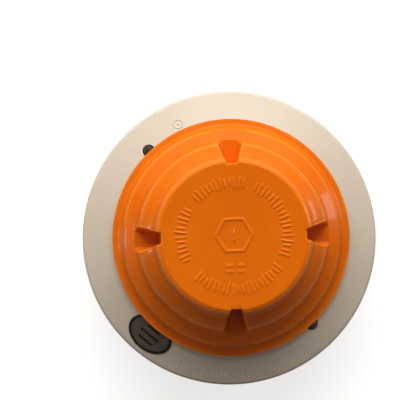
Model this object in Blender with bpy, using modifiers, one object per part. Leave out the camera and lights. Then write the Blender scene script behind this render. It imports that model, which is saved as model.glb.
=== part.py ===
"""Ceiling smoke detector: a head that twist-locks into its mounting base, under a pull-off dust cover.

Units are metres. The origin is the centre of the base's back face, which lies on the ceiling, and +Z
points from the ceiling into the room. The dust cover's four notches lie on the X and Y axes.
"""

import math

import bmesh
import bpy
from mathutils import Matrix, Vector

# ---------------------------------------------------------------- driving dimensions
GAP = 0.0003  # clearance between pieces that touch or rest on each other
SIDES = 48  # facets round a large turned piece
SMALL_SIDES = 12  # facets round a screw, a post or a hole

# Dust cover: a thin formed sheet. The outer side of its section, from the axis to the rim.
DOME = [
    (0.0000, 0.0550),
    (0.0241, 0.0550),
    (0.0257, 0.0542),
    (0.0264, 0.0525),
    (0.0273, 0.0477),
    (0.0287, 0.0469),
    (0.0310, 0.0447),
    (0.0319, 0.0434),
    (0.0334, 0.0376),
    (0.0370, 0.0357),
    (0.0387, 0.0321),
    (0.0393, 0.03175),
    (0.0414, 0.03105),
]
CROWN_POINTS = 11  # how many of those points the detector's crown follows
SHEET = 0.0008
COVER_CLEARANCE = 0.0004
PULL_OFF_TRAVEL = 0.030

# The four notches that key the dust cover to the crown's four pillars.
NOTCH_END = 0.0240
NOTCH_INNER_HALF_WIDTH = 0.0020
NOTCH_OUTER_HALF_WIDTH = 0.0038
NOTCH_OUTER_RADIUS = 0.0334
NOTCH_FLOOR = 0.0376
NOTCH_TOP = 0.0600
NOTCH_DRAFT = 0.0009

# Detector head: the moulded cover with its flange and crown.
HEAD_RADIUS = 0.0520
HEAD_BOTTOM = 0.0169
HEAD_WALL = 0.0016
FLANGE_INNER = (0.0384, 0.03065)
FLANGE_OUTER = (0.0513, 0.0257)
FLANGE_EDGE_TOP = 0.0249
SLOT_ANGLES = [17.0 + 11.2 * i for i in range(6)]  # smoke slots in one quarter of the crown, in degrees
SLOT_WIDTH = 0.0026
SLOT_RADII = (0.0215, 0.0360)
SLOT_HEIGHTS = (0.0384, 0.0505)
LAMP_RADIUS = 0.0417  # where the two status lamps show through the flange
LAMP_ANGLES = (131.5, 311.5)
LAMP_HOLE = 0.0022

# Rear housing of the head.
PLATE_BACK = 0.0095
PLATE_FRONT = 0.0115
REAR_WALL = (0.0442, 0.0462)
REAR_RING_RADIUS = 0.0500
REAR_RING = (0.0172, 0.0186)
LUG_ANGLES = (0.0, 120.0, 240.0)
LUG_RADII = (0.0456, 0.0488)
LUG_HEIGHTS = (0.0095, 0.0117)
LUG_SPAN = 18.0
BOARD_POST_RADIUS = 0.0405
BOARD_POST_ANGLES = (75.0, 195.0, 345.0)
BOARD_POST_SIZE = 0.0027

# Circuit board.
BOARD_RADIUS = 0.0439
BOARD_BACK = 0.0170
BOARD_FRONT = 0.0186
ON_BOARD = BOARD_FRONT + GAP

# Mounting base.
BASE_RADIUS = 0.0516
BASE_TOP = 0.0165
BASE_FLOOR = 0.0022
BASE_WALL_INNER = 0.0494
WIRE_HOLE = 0.0140
COLLAR_RADIUS = 0.0156
COLLAR_TOP = 0.0044
LEDGE_RADII = (0.0467, 0.0503)
LEDGE_HEIGHTS = (0.0121, 0.0141)
LEDGE_SPAN = 20.0
STOP_BOTTOM = 0.0099
STOP_SPAN = 2.7
SCREW_SLOT_RADII = (0.0250, 0.0350)
SCREW_SLOT_WIDTH = 0.0039
SCREW_SLOT_ANGLES = (0.0, 90.0, 180.0, 270.0)

# Terminals: each has a contact spring, clamp plate and screw on the base, and a blade on the head.
TERMINAL_ANGLES = (30.0, 120.0, 210.0, 300.0)
TERMINAL_RADIUS = 0.0380
TERMINAL_SCREW_ALONG = -0.0090  # distance along the tangent from the terminal's own angle
TERMINAL_PAD_TOP = 0.0037
TERMINAL_PAD_SIZE = 0.0088
SPRING_THICKNESS = 0.0005
SPRING_WIDTH = 0.0060
SPRING_PATH = [
    (-0.0130, TERMINAL_PAD_TOP + 0.00055),
    (-0.0045, TERMINAL_PAD_TOP + 0.00055),
    (-0.0015, 0.0045),
    (0.0015, 0.0045),
    (0.0042, 0.0035),
]
CLAMP_SIZE = 0.0078
CLAMP_HEIGHTS = (0.0048, 0.0058)
BLADE_THICKNESS = 0.0008
BLADE_WIDTH = 0.0050
BLADE_STEM_ALONG = 0.0064
BLADE_PATH = [
    (-0.0020, 0.0055),
    (BLADE_STEM_ALONG, 0.0055),
    (BLADE_STEM_ALONG, 0.0122),
    (-0.0020, 0.0122),
]
POST_ALONG = 0.0012  # the contact post's place along the blade
POST_SIZE = 0.0021
POST_HEIGHTS = (0.0129, 0.0167)
STUD_SIZE = 0.0012
STUD_BOTTOM = 0.0098
CLEAR_HOLE = 0.0015

# Screws.
SCREW_HEAD_HEIGHT = 0.0014
SCREW_HEAD_SIZE = 0.0024
SCREW_SHANK_SIZE = 0.0011
TERMINAL_HEAD_SIZE = 0.0034
TERMINAL_HEAD_HEIGHT = 0.0020
TERMINAL_SHANK_SIZE = 0.0015
TERMINAL_HOLE = 0.0018

# Address switches, whose dials show through the rear housing and the base's wire hole.
SWITCH_X = 0.0085
SWITCH_SIZE = 0.0100
SWITCH_BACK = 0.0100
DIAL_SIZE = 0.0030
DIAL_HEIGHTS = (0.0096, 0.0121)
DIAL_SLOT = (0.0044, 0.0009, 0.0008)

# Smoke chamber.
CHAMBER_RADIUS = 0.0200
CHAMBER_WALL = 0.0015
CHAMBER_FLOOR = (0.0344, 0.0360)
CHAMBER_RIM = 0.0210
VANE_COUNT = 16
VANE_RADIUS = 0.0170
VANE_SIZE = (0.0054, 0.0010)
VANE_TURN = 42.0
CAP_ROOF = (0.0470, 0.0486)
SCREEN_RADII = (0.0204, 0.0208)
OPTIC_RADII = (0.0065, 0.0135)
OPTIC_WIDTH = 0.0070
OPTIC_TOP = 0.0425
OPTIC_AXIS_HEIGHT = 0.0392
OPTIC_BORE = 0.0027
EMITTER_ANGLE = 200.0
RECEIVER_ANGLE = 330.0
LENS_SIZE = 0.0024

# The oval label on the flange.
LABEL_RADIUS = 0.0440
LABEL_ANGLE = -131.5
LABEL_HALF_AXES = (0.0060, 0.0084)
LABEL_HEIGHTS = (0.0003, 0.0005)


# ---------------------------------------------------------------- scene, collections and materials
def clear_scene():
    for obj in list(bpy.data.objects):
        bpy.data.objects.remove(obj, do_unlink=True)


def new_collection(name):
    made = bpy.data.collections.new(name)
    bpy.context.scene.collection.children.link(made)
    return made


def new_material(name, colour, roughness, metallic=0.0):
    material = bpy.data.materials.new(name)
    material.use_nodes = True
    shader = material.node_tree.nodes["Principled BSDF"]
    shader.inputs["Base Color"].default_value = (*colour, 1.0)
    shader.inputs["Roughness"].default_value = roughness
    shader.inputs["Metallic"].default_value = metallic
    return material


clear_scene()
PARTS = new_collection("smoke_detector")
CUTTERS = new_collection("cutters")

ORANGE = new_material("orange_sheet", (0.80, 0.22, 0.01), 0.25)
IVORY = new_material("ivory_plastic", (0.76, 0.70, 0.59), 0.35)
BLACK = new_material("black_plastic", (0.015, 0.015, 0.017), 0.60)
GREEN = new_material("board_green", (0.02, 0.16, 0.06), 0.45)
STEEL = new_material("steel", (0.60, 0.60, 0.61), 0.30, 1.0)
BRASS = new_material("brass", (0.78, 0.58, 0.25), 0.30, 1.0)
SMOKED = new_material("smoked_lens", (0.03, 0.025, 0.02), 0.10)
CLEAR = new_material("clear_resin", (0.75, 0.80, 0.85), 0.10)
GLASS = new_material("reed_glass", (0.70, 0.78, 0.72), 0.05)
ALUMINIUM = new_material("aluminium", (0.72, 0.73, 0.75), 0.30, 1.0)
BLUE = new_material("switch_blue", (0.03, 0.10, 0.38), 0.45)
DIAL = new_material("dial_white", (0.82, 0.82, 0.78), 0.40)
LABEL = new_material("label_grey", (0.05, 0.042, 0.035), 0.40)


# ---------------------------------------------------------------- shape helpers
def polar(radius, angle, height=0.0):
    """Matrix that carries local X to the radial direction and local Y to the tangent, at that place."""
    return Matrix.Rotation(math.radians(angle), 4, "Z") @ Matrix.Translation((radius, 0.0, height))


def new_object(name, mesh, material, collection, parent=None):
    obj = bpy.data.objects.new(name, mesh)
    collection.objects.link(obj)
    if material:
        mesh.materials.append(material)
    obj.parent = parent
    return obj


def mesh_from(name, bm, smooth_angle=35.0):
    bm.normal_update()
    bmesh.ops.recalc_face_normals(bm, faces=bm.faces)
    mesh = bpy.data.meshes.new(name)
    bm.to_mesh(mesh)
    bm.free()
    mesh.shade_smooth()
    mesh.set_sharp_from_angle(angle=math.radians(smooth_angle))
    return mesh


def add_box(bm, low, high, matrix=Matrix.Identity(4)):
    """Adds a box between two opposite corners to bm."""
    low, high = Vector(low), Vector(high)
    made = bmesh.ops.create_cube(bm, size=1.0)["verts"]
    size, middle = high - low, (high + low) / 2
    for vert in made:
        vert.co = matrix @ (vert.co * size + middle)


def add_cylinder(bm, radius, bottom, top, matrix=Matrix.Identity(4), sides=SMALL_SIDES):
    """Adds an upright cylinder to bm, on the matrix's own Z axis."""
    place = matrix @ Matrix.Translation((0.0, 0.0, (bottom + top) / 2))
    bmesh.ops.create_cone(
        bm, cap_ends=True, segments=sides, radius1=radius, radius2=radius, depth=top - bottom, matrix=place
    )


def add_loft(bm, low_outline, low, high_outline, high, matrix=Matrix.Identity(4)):
    """Adds a prism to bm whose lower and upper outlines have the same number of points."""
    face = bm.faces.new([bm.verts.new((x, y, low)) for x, y in low_outline])
    raised = bmesh.ops.extrude_face_region(bm, geom=[face])["geom"]
    top = [item for item in raised if isinstance(item, bmesh.types.BMFace)][0]
    for vert, (x, y) in zip([loop.vert for loop in top.loops], high_outline):
        vert.co = (x, y, high)
    for vert in list(face.verts) + list(top.verts):
        vert.co = matrix @ vert.co


def add_sector(bm, radii, heights, middle, span, steps=4):
    """Adds a block of a ring to bm: span degrees wide about the angle middle."""
    (inner, outer), (low, high) = radii, heights
    start = Matrix.Rotation(math.radians(middle - span / 2), 4, "Z")
    corners = [(inner, 0, low), (outer, 0, low), (outer, 0, high), (inner, 0, high)]
    face = bm.faces.new([bm.verts.new(start @ Vector(corner)) for corner in corners])
    geom = [face] + list(face.edges) + list(face.verts)
    bmesh.ops.spin(bm, geom=geom, cent=(0, 0, 0), axis=(0, 0, 1), angle=math.radians(span), steps=steps)


def turned(name, profile, material, collection=None, parent=None, closed=False, sides=SIDES):
    """Turns a section of (radius, height) points about Z. The section runs down its outer side."""
    mesh = bpy.data.meshes.new(name)
    edges = [(i, i + 1) for i in range(len(profile) - 1)]
    if closed:
        edges.append((len(profile) - 1, 0))
    mesh.from_pydata([(radius, 0.0, height) for radius, height in profile], edges, [])
    obj = new_object(name, mesh, material, collection or PARTS, parent)
    screw = obj.modifiers.new("turn", "SCREW")
    screw.steps = sides
    screw.render_steps = sides
    screw.use_merge_vertices = True
    screw.merge_threshold = 0.00001
    screw.use_smooth_shade = True
    return obj


def as_cutter(obj):
    obj.hide_render = True
    obj.display_type = "WIRE"
    return obj


def boolean(obj, other, operation="DIFFERENCE"):
    modifier = obj.modifiers.new(operation.lower(), "BOOLEAN")
    modifier.operation = operation
    modifier.object = as_cutter(other)


def cutter(name, bm):
    return new_object(name, mesh_from(name, bm), None, CUTTERS)


def solid(name, bm, material, parent=None):
    return new_object(name, mesh_from(name, bm), material, PARTS, parent)


def inset(profile, distance):
    """The section moved inwards by distance, with mitred corners, towards the axis and the ceiling."""
    points = [Vector(point) for point in profile]
    normals = []
    for start, end in zip(points, points[1:]):
        along = (end - start).normalized()
        normals.append(Vector((along.y, -along.x)))
    moved = []
    for i, point in enumerate(points):
        before = normals[max(i - 1, 0)]
        after = normals[min(i, len(normals) - 1)]
        moved.append(tuple(point + (before + after) * (distance / (1.0 + before.dot(after)))))
    return moved


def notches(name, grow):
    """Cutter for the four notches, with every wall and the floor moved outwards by grow."""
    slope = (NOTCH_OUTER_HALF_WIDTH - NOTCH_INNER_HALF_WIDTH) / (NOTCH_OUTER_RADIUS - NOTCH_END)
    far = HEAD_RADIUS

    def outline(end, extra):
        near_half = NOTCH_INNER_HALF_WIDTH + grow + extra
        far_half = near_half + slope * (far - NOTCH_END)
        return [(end, -near_half), (far, -far_half), (far, far_half), (end, near_half)]

    low_outline = outline(NOTCH_END + NOTCH_DRAFT / 2 - grow, 0.0)
    high_outline = outline(NOTCH_END - NOTCH_DRAFT / 2 - grow, NOTCH_DRAFT)
    bm = bmesh.new()
    for quarter in range(4):
        add_loft(bm, low_outline, NOTCH_FLOOR - grow, high_outline, NOTCH_TOP, polar(0.0, 90.0 * quarter))
    return cutter(name, bm)


def notched_shell(name, outer, inner, material, parent, outer_grow, inner_grow):
    """A turned shell between two sections, both of them notched, so that the notches keep their walls."""
    shell = turned(name, outer, material, parent=parent)
    core = turned(name + "_core", inner, None, collection=CUTTERS)
    boolean(core, notches(name + "_core_notches", inner_grow))
    boolean(shell, notches(name + "_notches", outer_grow))
    boolean(shell, core)
    return shell


def bent_strip(name, path, width, thickness, material, parent=None):
    """A strip bent along path, whose points are (along the tangent, height), centred on the path."""
    bm = bmesh.new()
    rows = []
    for side in (-width / 2, width / 2):
        rows.append([bm.verts.new((side, along, height)) for along, height in path])
    for i in range(len(path) - 1):
        bm.faces.new((rows[0][i], rows[1][i], rows[1][i + 1], rows[0][i + 1]))
    obj = solid(name, bm, material, parent)
    shell = obj.modifiers.new("thickness", "SOLIDIFY")
    shell.thickness = thickness
    shell.offset = 0.0
    shell.use_even_offset = True
    return obj


def screw(name, place, seat, head_size, head_height, shank_size, tip, material, parent):
    """A slotted pan screw standing on the height seat, its shank running down to tip."""
    profile = [
        (0.0, seat + head_height),
        (head_size * 0.75, seat + head_height),
        (head_size, seat + head_height * 0.55),
        (head_size, seat),
        (shank_size, seat),
        (shank_size, tip + shank_size / 2),
        (shank_size / 2, tip),
        (0.0, tip),
    ]
    obj = turned(name, profile, material, parent=parent, sides=SMALL_SIDES)
    obj.matrix_local = place
    bm = bmesh.new()
    slot_bottom = seat + head_height * 0.5
    add_box(bm, (-head_size * 1.2, -0.0003, slot_bottom), (head_size * 1.2, 0.0003, seat + head_height * 1.5))
    slot = cutter(name + "_slot", bm)
    slot.parent = parent
    slot.matrix_local = place @ Matrix.Rotation(math.radians(30.0), 4, "Z")
    boolean(obj, slot)
    return obj


# ---------------------------------------------------------------- mounting base
def make_mounting_base():
    profile = [
        (BASE_RADIUS, BASE_TOP),
        (BASE_RADIUS, 0.0010),
        (BASE_RADIUS - 0.0007, 0.0),
        (WIRE_HOLE, 0.0),
        (WIRE_HOLE, COLLAR_TOP),
        (COLLAR_RADIUS, COLLAR_TOP),
        (COLLAR_RADIUS, BASE_FLOOR),
        (BASE_WALL_INNER, BASE_FLOOR),
        (BASE_WALL_INNER, BASE_TOP),
    ]
    base = turned("mounting_base", profile, IVORY, closed=True)

    features = bmesh.new()
    for angle in LUG_ANGLES:
        add_sector(features, LEDGE_RADII, LEDGE_HEIGHTS, angle, LEDGE_SPAN)
    for angle in TERMINAL_ANGLES:
        half = TERMINAL_PAD_SIZE / 2
        low = (-half, TERMINAL_SCREW_ALONG - half, BASE_FLOOR - 0.0006)
        high = (half, TERMINAL_SCREW_ALONG + half, TERMINAL_PAD_TOP)
        add_box(features, low, high, polar(TERMINAL_RADIUS, angle))
    boolean(base, cutter("base_ledges_and_pads", features), "UNION")

    stops = bmesh.new()
    for angle in LUG_ANGLES:
        middle = angle - LEDGE_SPAN / 2 - STOP_SPAN / 2 + 0.4
        add_sector(stops, LEDGE_RADII, (STOP_BOTTOM, LEDGE_HEIGHTS[1] - 0.0002), middle, STOP_SPAN, steps=1)
    boolean(base, cutter("base_stops", stops), "UNION")

    holes = bmesh.new()
    for angle in TERMINAL_ANGLES:
        place = polar(TERMINAL_RADIUS, angle) @ Matrix.Translation((0.0, TERMINAL_SCREW_ALONG, 0.0))
        add_cylinder(holes, TERMINAL_HOLE, 0.0006, 0.0060, place)
    for angle in SCREW_SLOT_ANGLES:
        half = SCREW_SLOT_WIDTH / 2
        inner, outer = SCREW_SLOT_RADII
        add_box(holes, (inner, -half, -0.0010), (outer, half, BASE_FLOOR + 0.0010), polar(0.0, angle))
    boolean(base, cutter("base_holes", holes))


def make_terminal(number, angle, base):
    spring = bent_strip(f"base_contact_{number}", SPRING_PATH, SPRING_WIDTH, SPRING_THICKNESS, BRASS, base)
    spring.matrix_local = polar(TERMINAL_RADIUS, angle)
    at_screw = polar(TERMINAL_RADIUS, angle) @ Matrix.Translation((0.0, TERMINAL_SCREW_ALONG, 0.0))
    hole = bmesh.new()
    add_cylinder(hole, TERMINAL_HOLE, 0.0030, 0.0070, at_screw)
    hole_cutter = cutter(f"terminal_hole_{number}", hole)
    boolean(spring, hole_cutter)

    half = CLAMP_SIZE / 2
    plate_shape = bmesh.new()
    add_box(plate_shape, (-half, -half, CLAMP_HEIGHTS[0]), (half, half, CLAMP_HEIGHTS[1]), at_screw)
    plate = solid(f"clamp_plate_{number}", plate_shape, STEEL, base)
    boolean(plate, hole_cutter)

    seat = CLAMP_HEIGHTS[1] + GAP
    screw(
        f"terminal_screw_{number}", at_screw, seat, TERMINAL_HEAD_SIZE, TERMINAL_HEAD_HEIGHT,
        TERMINAL_SHANK_SIZE, 0.0010, STEEL, base,
    )


# ---------------------------------------------------------------- detector head: housings
def make_outer_cover(head):
    crown = inset(DOME, SHEET + COVER_CLEARANCE)[:CROWN_POINTS]
    outer = crown + [FLANGE_INNER, FLANGE_OUTER, (HEAD_RADIUS, FLANGE_EDGE_TOP), (HEAD_RADIUS, HEAD_BOTTOM)]
    inner = inset(outer, HEAD_WALL)
    below = HEAD_BOTTOM - 0.0010
    inner += [(inner[-1][0], below), (0.0, below)]
    outer.append((0.0, HEAD_BOTTOM))
    grow = SHEET + COVER_CLEARANCE
    cover = notched_shell("outer_cover", outer, inner, IVORY, head, grow, grow + HEAD_WALL)

    openings = bmesh.new()
    half = SLOT_WIDTH / 2
    for quarter in range(4):
        for angle in SLOT_ANGLES:
            low = (SLOT_RADII[0], -half, SLOT_HEIGHTS[0])
            high = (SLOT_RADII[1], half, SLOT_HEIGHTS[1])
            add_box(openings, low, high, polar(0.0, 90.0 * quarter + angle))
    for angle in LAMP_ANGLES:
        add_cylinder(openings, LAMP_HOLE, 0.0240, 0.0330, polar(LAMP_RADIUS, angle))
    boolean(cover, cutter("cover_openings", openings))


def make_rear_housing(head):
    profile = [
        (0.0, PLATE_FRONT),
        (REAR_WALL[0], PLATE_FRONT),
        (REAR_WALL[0], REAR_RING[1]),
        (REAR_RING_RADIUS, REAR_RING[1]),
        (REAR_RING_RADIUS, REAR_RING[0]),
        (REAR_WALL[1], REAR_RING[0]),
        (REAR_WALL[1], PLATE_BACK),
        (0.0, PLATE_BACK),
    ]
    housing = turned("rear_housing", profile, IVORY, parent=head)

    features = bmesh.new()
    for angle in LUG_ANGLES:
        add_sector(features, LUG_RADII, LUG_HEIGHTS, angle, LUG_SPAN)
    for angle in BOARD_POST_ANGLES:
        place = polar(BOARD_POST_RADIUS, angle)
        add_cylinder(features, BOARD_POST_SIZE, PLATE_FRONT - 0.0005, BOARD_BACK - GAP, place)
    boolean(housing, cutter("housing_lugs_and_posts", features), "UNION")

    holes = bmesh.new()
    window = SWITCH_SIZE / 2 + GAP
    for x in (-SWITCH_X, SWITCH_X):
        add_box(holes, (x - window, -window, 0.0080), (x + window, window, 0.0130))
    for angle in TERMINAL_ANGLES:
        place = polar(TERMINAL_RADIUS, angle)
        half_width, half_along = BLADE_WIDTH / 2 + GAP, BLADE_THICKNESS / 2 + GAP
        low = (-half_width, BLADE_STEM_ALONG - half_along, 0.0080)
        high = (half_width, BLADE_STEM_ALONG + half_along, 0.0130)
        add_box(holes, low, high, place)
        add_cylinder(holes, CLEAR_HOLE, 0.0080, 0.0130, place @ Matrix.Translation((0.0, POST_ALONG, 0.0)))
    for angle in BOARD_POST_ANGLES:
        add_cylinder(holes, CLEAR_HOLE, 0.0121, 0.0180, polar(BOARD_POST_RADIUS, angle))
    boolean(housing, cutter("housing_holes", holes))


# ---------------------------------------------------------------- detector head: contacts and board
def make_blade(number, angle, head):
    place = polar(TERMINAL_RADIUS, angle)
    at_post = place @ Matrix.Translation((0.0, POST_ALONG, 0.0))
    blade = bent_strip(f"contact_blade_{number}", BLADE_PATH, BLADE_WIDTH, BLADE_THICKNESS, BRASS, head)
    blade.matrix_local = place
    hole = bmesh.new()
    add_cylinder(hole, CLEAR_HOLE, 0.0110, 0.0135, at_post)
    boolean(blade, cutter(f"blade_hole_{number}", hole))

    low, high = POST_HEIGHTS
    threaded_depth = 0.0026
    profile = [
        (SCREW_SHANK_SIZE + GAP, high),
        (POST_SIZE, high),
        (POST_SIZE, low),
        (STUD_SIZE, low),
        (STUD_SIZE, STUD_BOTTOM),
        (0.0, STUD_BOTTOM),
    ]
    blind_hole = [(0.0, high - threaded_depth), (SCREW_SHANK_SIZE + GAP, high - threaded_depth)]
    post = turned(f"contact_post_{number}", blind_hole + profile, BRASS, parent=head, sides=SMALL_SIDES)
    post.matrix_local = at_post
    screw(
        f"post_screw_{number}", at_post, ON_BOARD, SCREW_HEAD_SIZE, SCREW_HEAD_HEIGHT,
        SCREW_SHANK_SIZE, high - threaded_depth + GAP, STEEL, head,
    )


def make_circuit_board(head):
    profile = [(0.0, BOARD_FRONT), (BOARD_RADIUS, BOARD_FRONT), (BOARD_RADIUS, BOARD_BACK), (0.0, BOARD_BACK)]
    board = turned("circuit_board", profile, GREEN, parent=head)
    holes = bmesh.new()
    for angle in TERMINAL_ANGLES:
        place = polar(TERMINAL_RADIUS, angle) @ Matrix.Translation((0.0, POST_ALONG, 0.0))
        add_cylinder(holes, CLEAR_HOLE, BOARD_BACK - 0.0010, BOARD_FRONT + 0.0010, place)
    for angle in BOARD_POST_ANGLES:
        place = polar(BOARD_POST_RADIUS, angle)
        add_cylinder(holes, CLEAR_HOLE, BOARD_BACK - 0.0010, BOARD_FRONT + 0.0010, place)
    boolean(board, cutter("board_holes", holes))
    for number, angle in enumerate(BOARD_POST_ANGLES, 1):
        screw(
            f"board_screw_{number}", polar(BOARD_POST_RADIUS, angle), ON_BOARD, SCREW_HEAD_SIZE,
            SCREW_HEAD_HEIGHT, SCREW_SHANK_SIZE, 0.0126, STEEL, head,
        )


def make_board_parts(head):
    can = bmesh.new()
    add_box(can, (-0.0065, -0.0055, ON_BOARD), (0.0065, 0.0055, ON_BOARD + 0.0045))
    solid("shield_can", can, STEEL, head)

    chip = bmesh.new()
    add_box(chip, (-0.0050, -0.0050, ON_BOARD), (0.0050, 0.0050, ON_BOARD + 0.0016), polar(0.0310, 335.0))
    solid("microcontroller", chip, BLACK, head)

    for number, (radius, angle) in enumerate(((0.0300, 235.0), (0.0300, 255.0)), 1):
        can_size, can_height = 0.00315, 0.0080
        profile = [
            (0.0, ON_BOARD + can_height),
            (can_size * 0.85, ON_BOARD + can_height),
            (can_size, ON_BOARD + can_height - 0.0004),
            (can_size, ON_BOARD + 0.0018),
            (can_size * 0.88, ON_BOARD + 0.0014),
            (can_size, ON_BOARD + 0.0010),
            (can_size, ON_BOARD),
            (0.0, ON_BOARD),
        ]
        capacitor = turned(f"capacitor_{number}", profile, ALUMINIUM, parent=head, sides=16)
        capacitor.matrix_local = polar(radius, angle)

    reed_half, reed_size = 0.0055, 0.0011
    reed_profile = [
        (0.0, reed_half),
        (reed_size * 0.6, reed_half - 0.0003),
        (reed_size, reed_half - 0.0012),
        (reed_size, -reed_half + 0.0012),
        (reed_size * 0.6, -reed_half + 0.0003),
        (0.0, -reed_half),
    ]
    reed = turned("reed_switch", reed_profile, GLASS, parent=head, sides=SMALL_SIDES)
    reed.matrix_local = polar(0.0400, 107.0, ON_BOARD + reed_size) @ Matrix.Rotation(math.pi / 2, 4, "X")


def make_lamps(head):
    """A small lamp on the board and a smoked light pipe that carries its light to the flange, twice."""
    lamp_top = ON_BOARD + 0.0018
    pipe_foot, pipe_size, pipe_top = lamp_top + GAP, 0.0019, 0.0291
    collar_low, collar_high, collar_size = 0.0242, 0.0254, 0.0027
    for number, angle in enumerate(LAMP_ANGLES, 1):
        lamp = bmesh.new()
        add_box(lamp, (-0.0014, -0.0016, ON_BOARD), (0.0014, 0.0016, lamp_top), polar(LAMP_RADIUS, angle))
        solid(f"status_lamp_{number}", lamp, CLEAR, head)
        profile = [
            (0.0, pipe_top),
            (pipe_size * 0.8, pipe_top - 0.0002),
            (pipe_size, pipe_top - 0.0006),
            (pipe_size, collar_high),
            (collar_size, collar_high),
            (collar_size, collar_low),
            (pipe_size, collar_low),
            (pipe_size, pipe_foot),
            (0.0, pipe_foot),
        ]
        pipe = turned(f"light_pipe_{number}", profile, SMOKED, parent=head, sides=16)
        pipe.matrix_local = polar(LAMP_RADIUS, angle)


# ---------------------------------------------------------------- detector head: smoke chamber
def make_chamber_base(head):
    floor_low, floor_high = CHAMBER_FLOOR
    profile = [
        (0.0, floor_high),
        (CHAMBER_RIM, floor_high),
        (CHAMBER_RIM, floor_high - 0.0010),
        (CHAMBER_RADIUS, floor_high - 0.0010),
        (CHAMBER_RADIUS, ON_BOARD),
        (CHAMBER_RADIUS - CHAMBER_WALL, ON_BOARD),
        (CHAMBER_RADIUS - CHAMBER_WALL, floor_low),
        (0.0, floor_low),
    ]
    base = turned("chamber_base", profile, BLACK, parent=head, sides=32)
    holders, bores = bmesh.new(), bmesh.new()
    inner, outer = OPTIC_RADII
    for angle in (EMITTER_ANGLE, RECEIVER_ANGLE):
        half = OPTIC_WIDTH / 2
        add_box(holders, (inner, -half, floor_high - 0.0006), (outer, half, OPTIC_TOP), polar(0.0, angle))
        along_axis = polar(0.0, angle, OPTIC_AXIS_HEIGHT) @ Matrix.Rotation(math.pi / 2, 4, "Y")
        add_cylinder(bores, OPTIC_BORE, inner - 0.0010, outer + 0.0010, along_axis, sides=16)
    boolean(base, cutter("optic_holders", holders), "UNION")
    boolean(base, cutter("optic_bores", bores))


def make_optic(name, angle, material, head):
    """A 5 mm lens package that lies in its holder and looks at the chamber's middle."""
    inner, outer = OPTIC_RADII
    nose = inner + 0.0006
    dome = [
        (LENS_SIZE * math.sin(turn), nose + LENS_SIZE * (1.0 - math.cos(turn)))
        for turn in (math.radians(30.0 * step) for step in range(4))
    ]
    tail = [(LENS_SIZE, outer - 0.0006), (0.0, outer - 0.0006)]
    profile = [(radius, -along) for radius, along in dome + tail]
    optic = turned(name, profile, material, parent=head, sides=16)
    optic.matrix_local = polar(0.0, angle, OPTIC_AXIS_HEIGHT) @ Matrix.Rotation(-math.pi / 2, 4, "Y")


def make_chamber_cap(head):
    roof_low, roof_high = CAP_ROOF
    profile = [(0.0, roof_high), (CHAMBER_RADIUS, roof_high), (CHAMBER_RADIUS, roof_low), (0.0, roof_low)]
    cap = turned("chamber_cap", profile, BLACK, parent=head, sides=32)
    vanes = bmesh.new()
    half_length, half_width = VANE_SIZE[0] / 2, VANE_SIZE[1] / 2
    for i in range(VANE_COUNT):
        place = polar(VANE_RADIUS, 360.0 * i / VANE_COUNT) @ Matrix.Rotation(math.radians(VANE_TURN), 4, "Z")
        low = (-half_length, -half_width, CHAMBER_FLOOR[1] + GAP)
        add_box(vanes, low, (half_length, half_width, roof_low + 0.0006), place)
    boolean(cap, cutter("labyrinth_vanes", vanes), "UNION")


def make_insect_screen(head):
    inner, outer = SCREEN_RADII
    low, high = CHAMBER_FLOOR[1] + GAP, CAP_ROOF[1]
    profile = [(outer, high), (outer, low), (inner, low), (inner, high)]
    turned("insect_screen", profile, STEEL, parent=head, closed=True)


# ---------------------------------------------------------------- address switches and their dials
def make_address_switch(word, x, head):
    half = SWITCH_SIZE / 2
    body_shape = bmesh.new()
    add_box(body_shape, (x - half, -half, SWITCH_BACK), (x + half, half, BOARD_BACK - GAP))
    body = solid(f"{word}_switch", body_shape, BLUE, head)
    well = bmesh.new()
    add_cylinder(
        well, DIAL_SIZE + GAP, SWITCH_BACK - 0.0010, DIAL_HEIGHTS[1] + GAP,
        Matrix.Translation((x, 0.0, 0.0)), sides=24,
    )
    boolean(body, cutter(f"{word}_dial_well", well))

    pivot = bpy.data.objects.new(f"{word}_dial_axis", None)
    PARTS.objects.link(pivot)
    pivot.parent = head
    pivot.location = (x, 0.0, 0.0)
    low, high = DIAL_HEIGHTS
    profile = [(0.0, high), (DIAL_SIZE, high), (DIAL_SIZE, low + 0.0003), (DIAL_SIZE - 0.0003, low), (0.0, low)]
    dial = turned(f"{word}_dial", profile, DIAL, parent=pivot, sides=24)
    length, width, depth = DIAL_SLOT
    slot = bmesh.new()
    add_box(slot, (-length / 2, -width / 2, low - 0.0010), (length / 2, width / 2, low + depth))
    slot_cutter = cutter(f"{word}_dial_slot", slot)
    slot_cutter.parent = pivot
    boolean(dial, slot_cutter)


# ---------------------------------------------------------------- label and dust cover
def make_label(head):
    """A thin oval that follows the flange's cone."""
    low, high = LABEL_HEIGHTS
    (r0, z0), (r1, z1) = FLANGE_INNER, FLANGE_OUTER
    profile = [(r0, z0 + high), (r1, z1 + high), (r1, z1 + low), (r0, z0 + low)]
    label = turned("label", profile, LABEL, parent=head, closed=True, sides=SIDES * 2)
    radial, tangential = LABEL_HALF_AXES
    count = 24
    turns = [2.0 * math.pi * i / count for i in range(count)]
    oval = [(LABEL_RADIUS + radial * math.cos(t), tangential * math.sin(t)) for t in turns]
    bm = bmesh.new()
    add_loft(bm, oval, 0.0200, oval, 0.0400, polar(0.0, LABEL_ANGLE))
    boolean(label, cutter("label_oval", bm), "INTERSECT")


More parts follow.
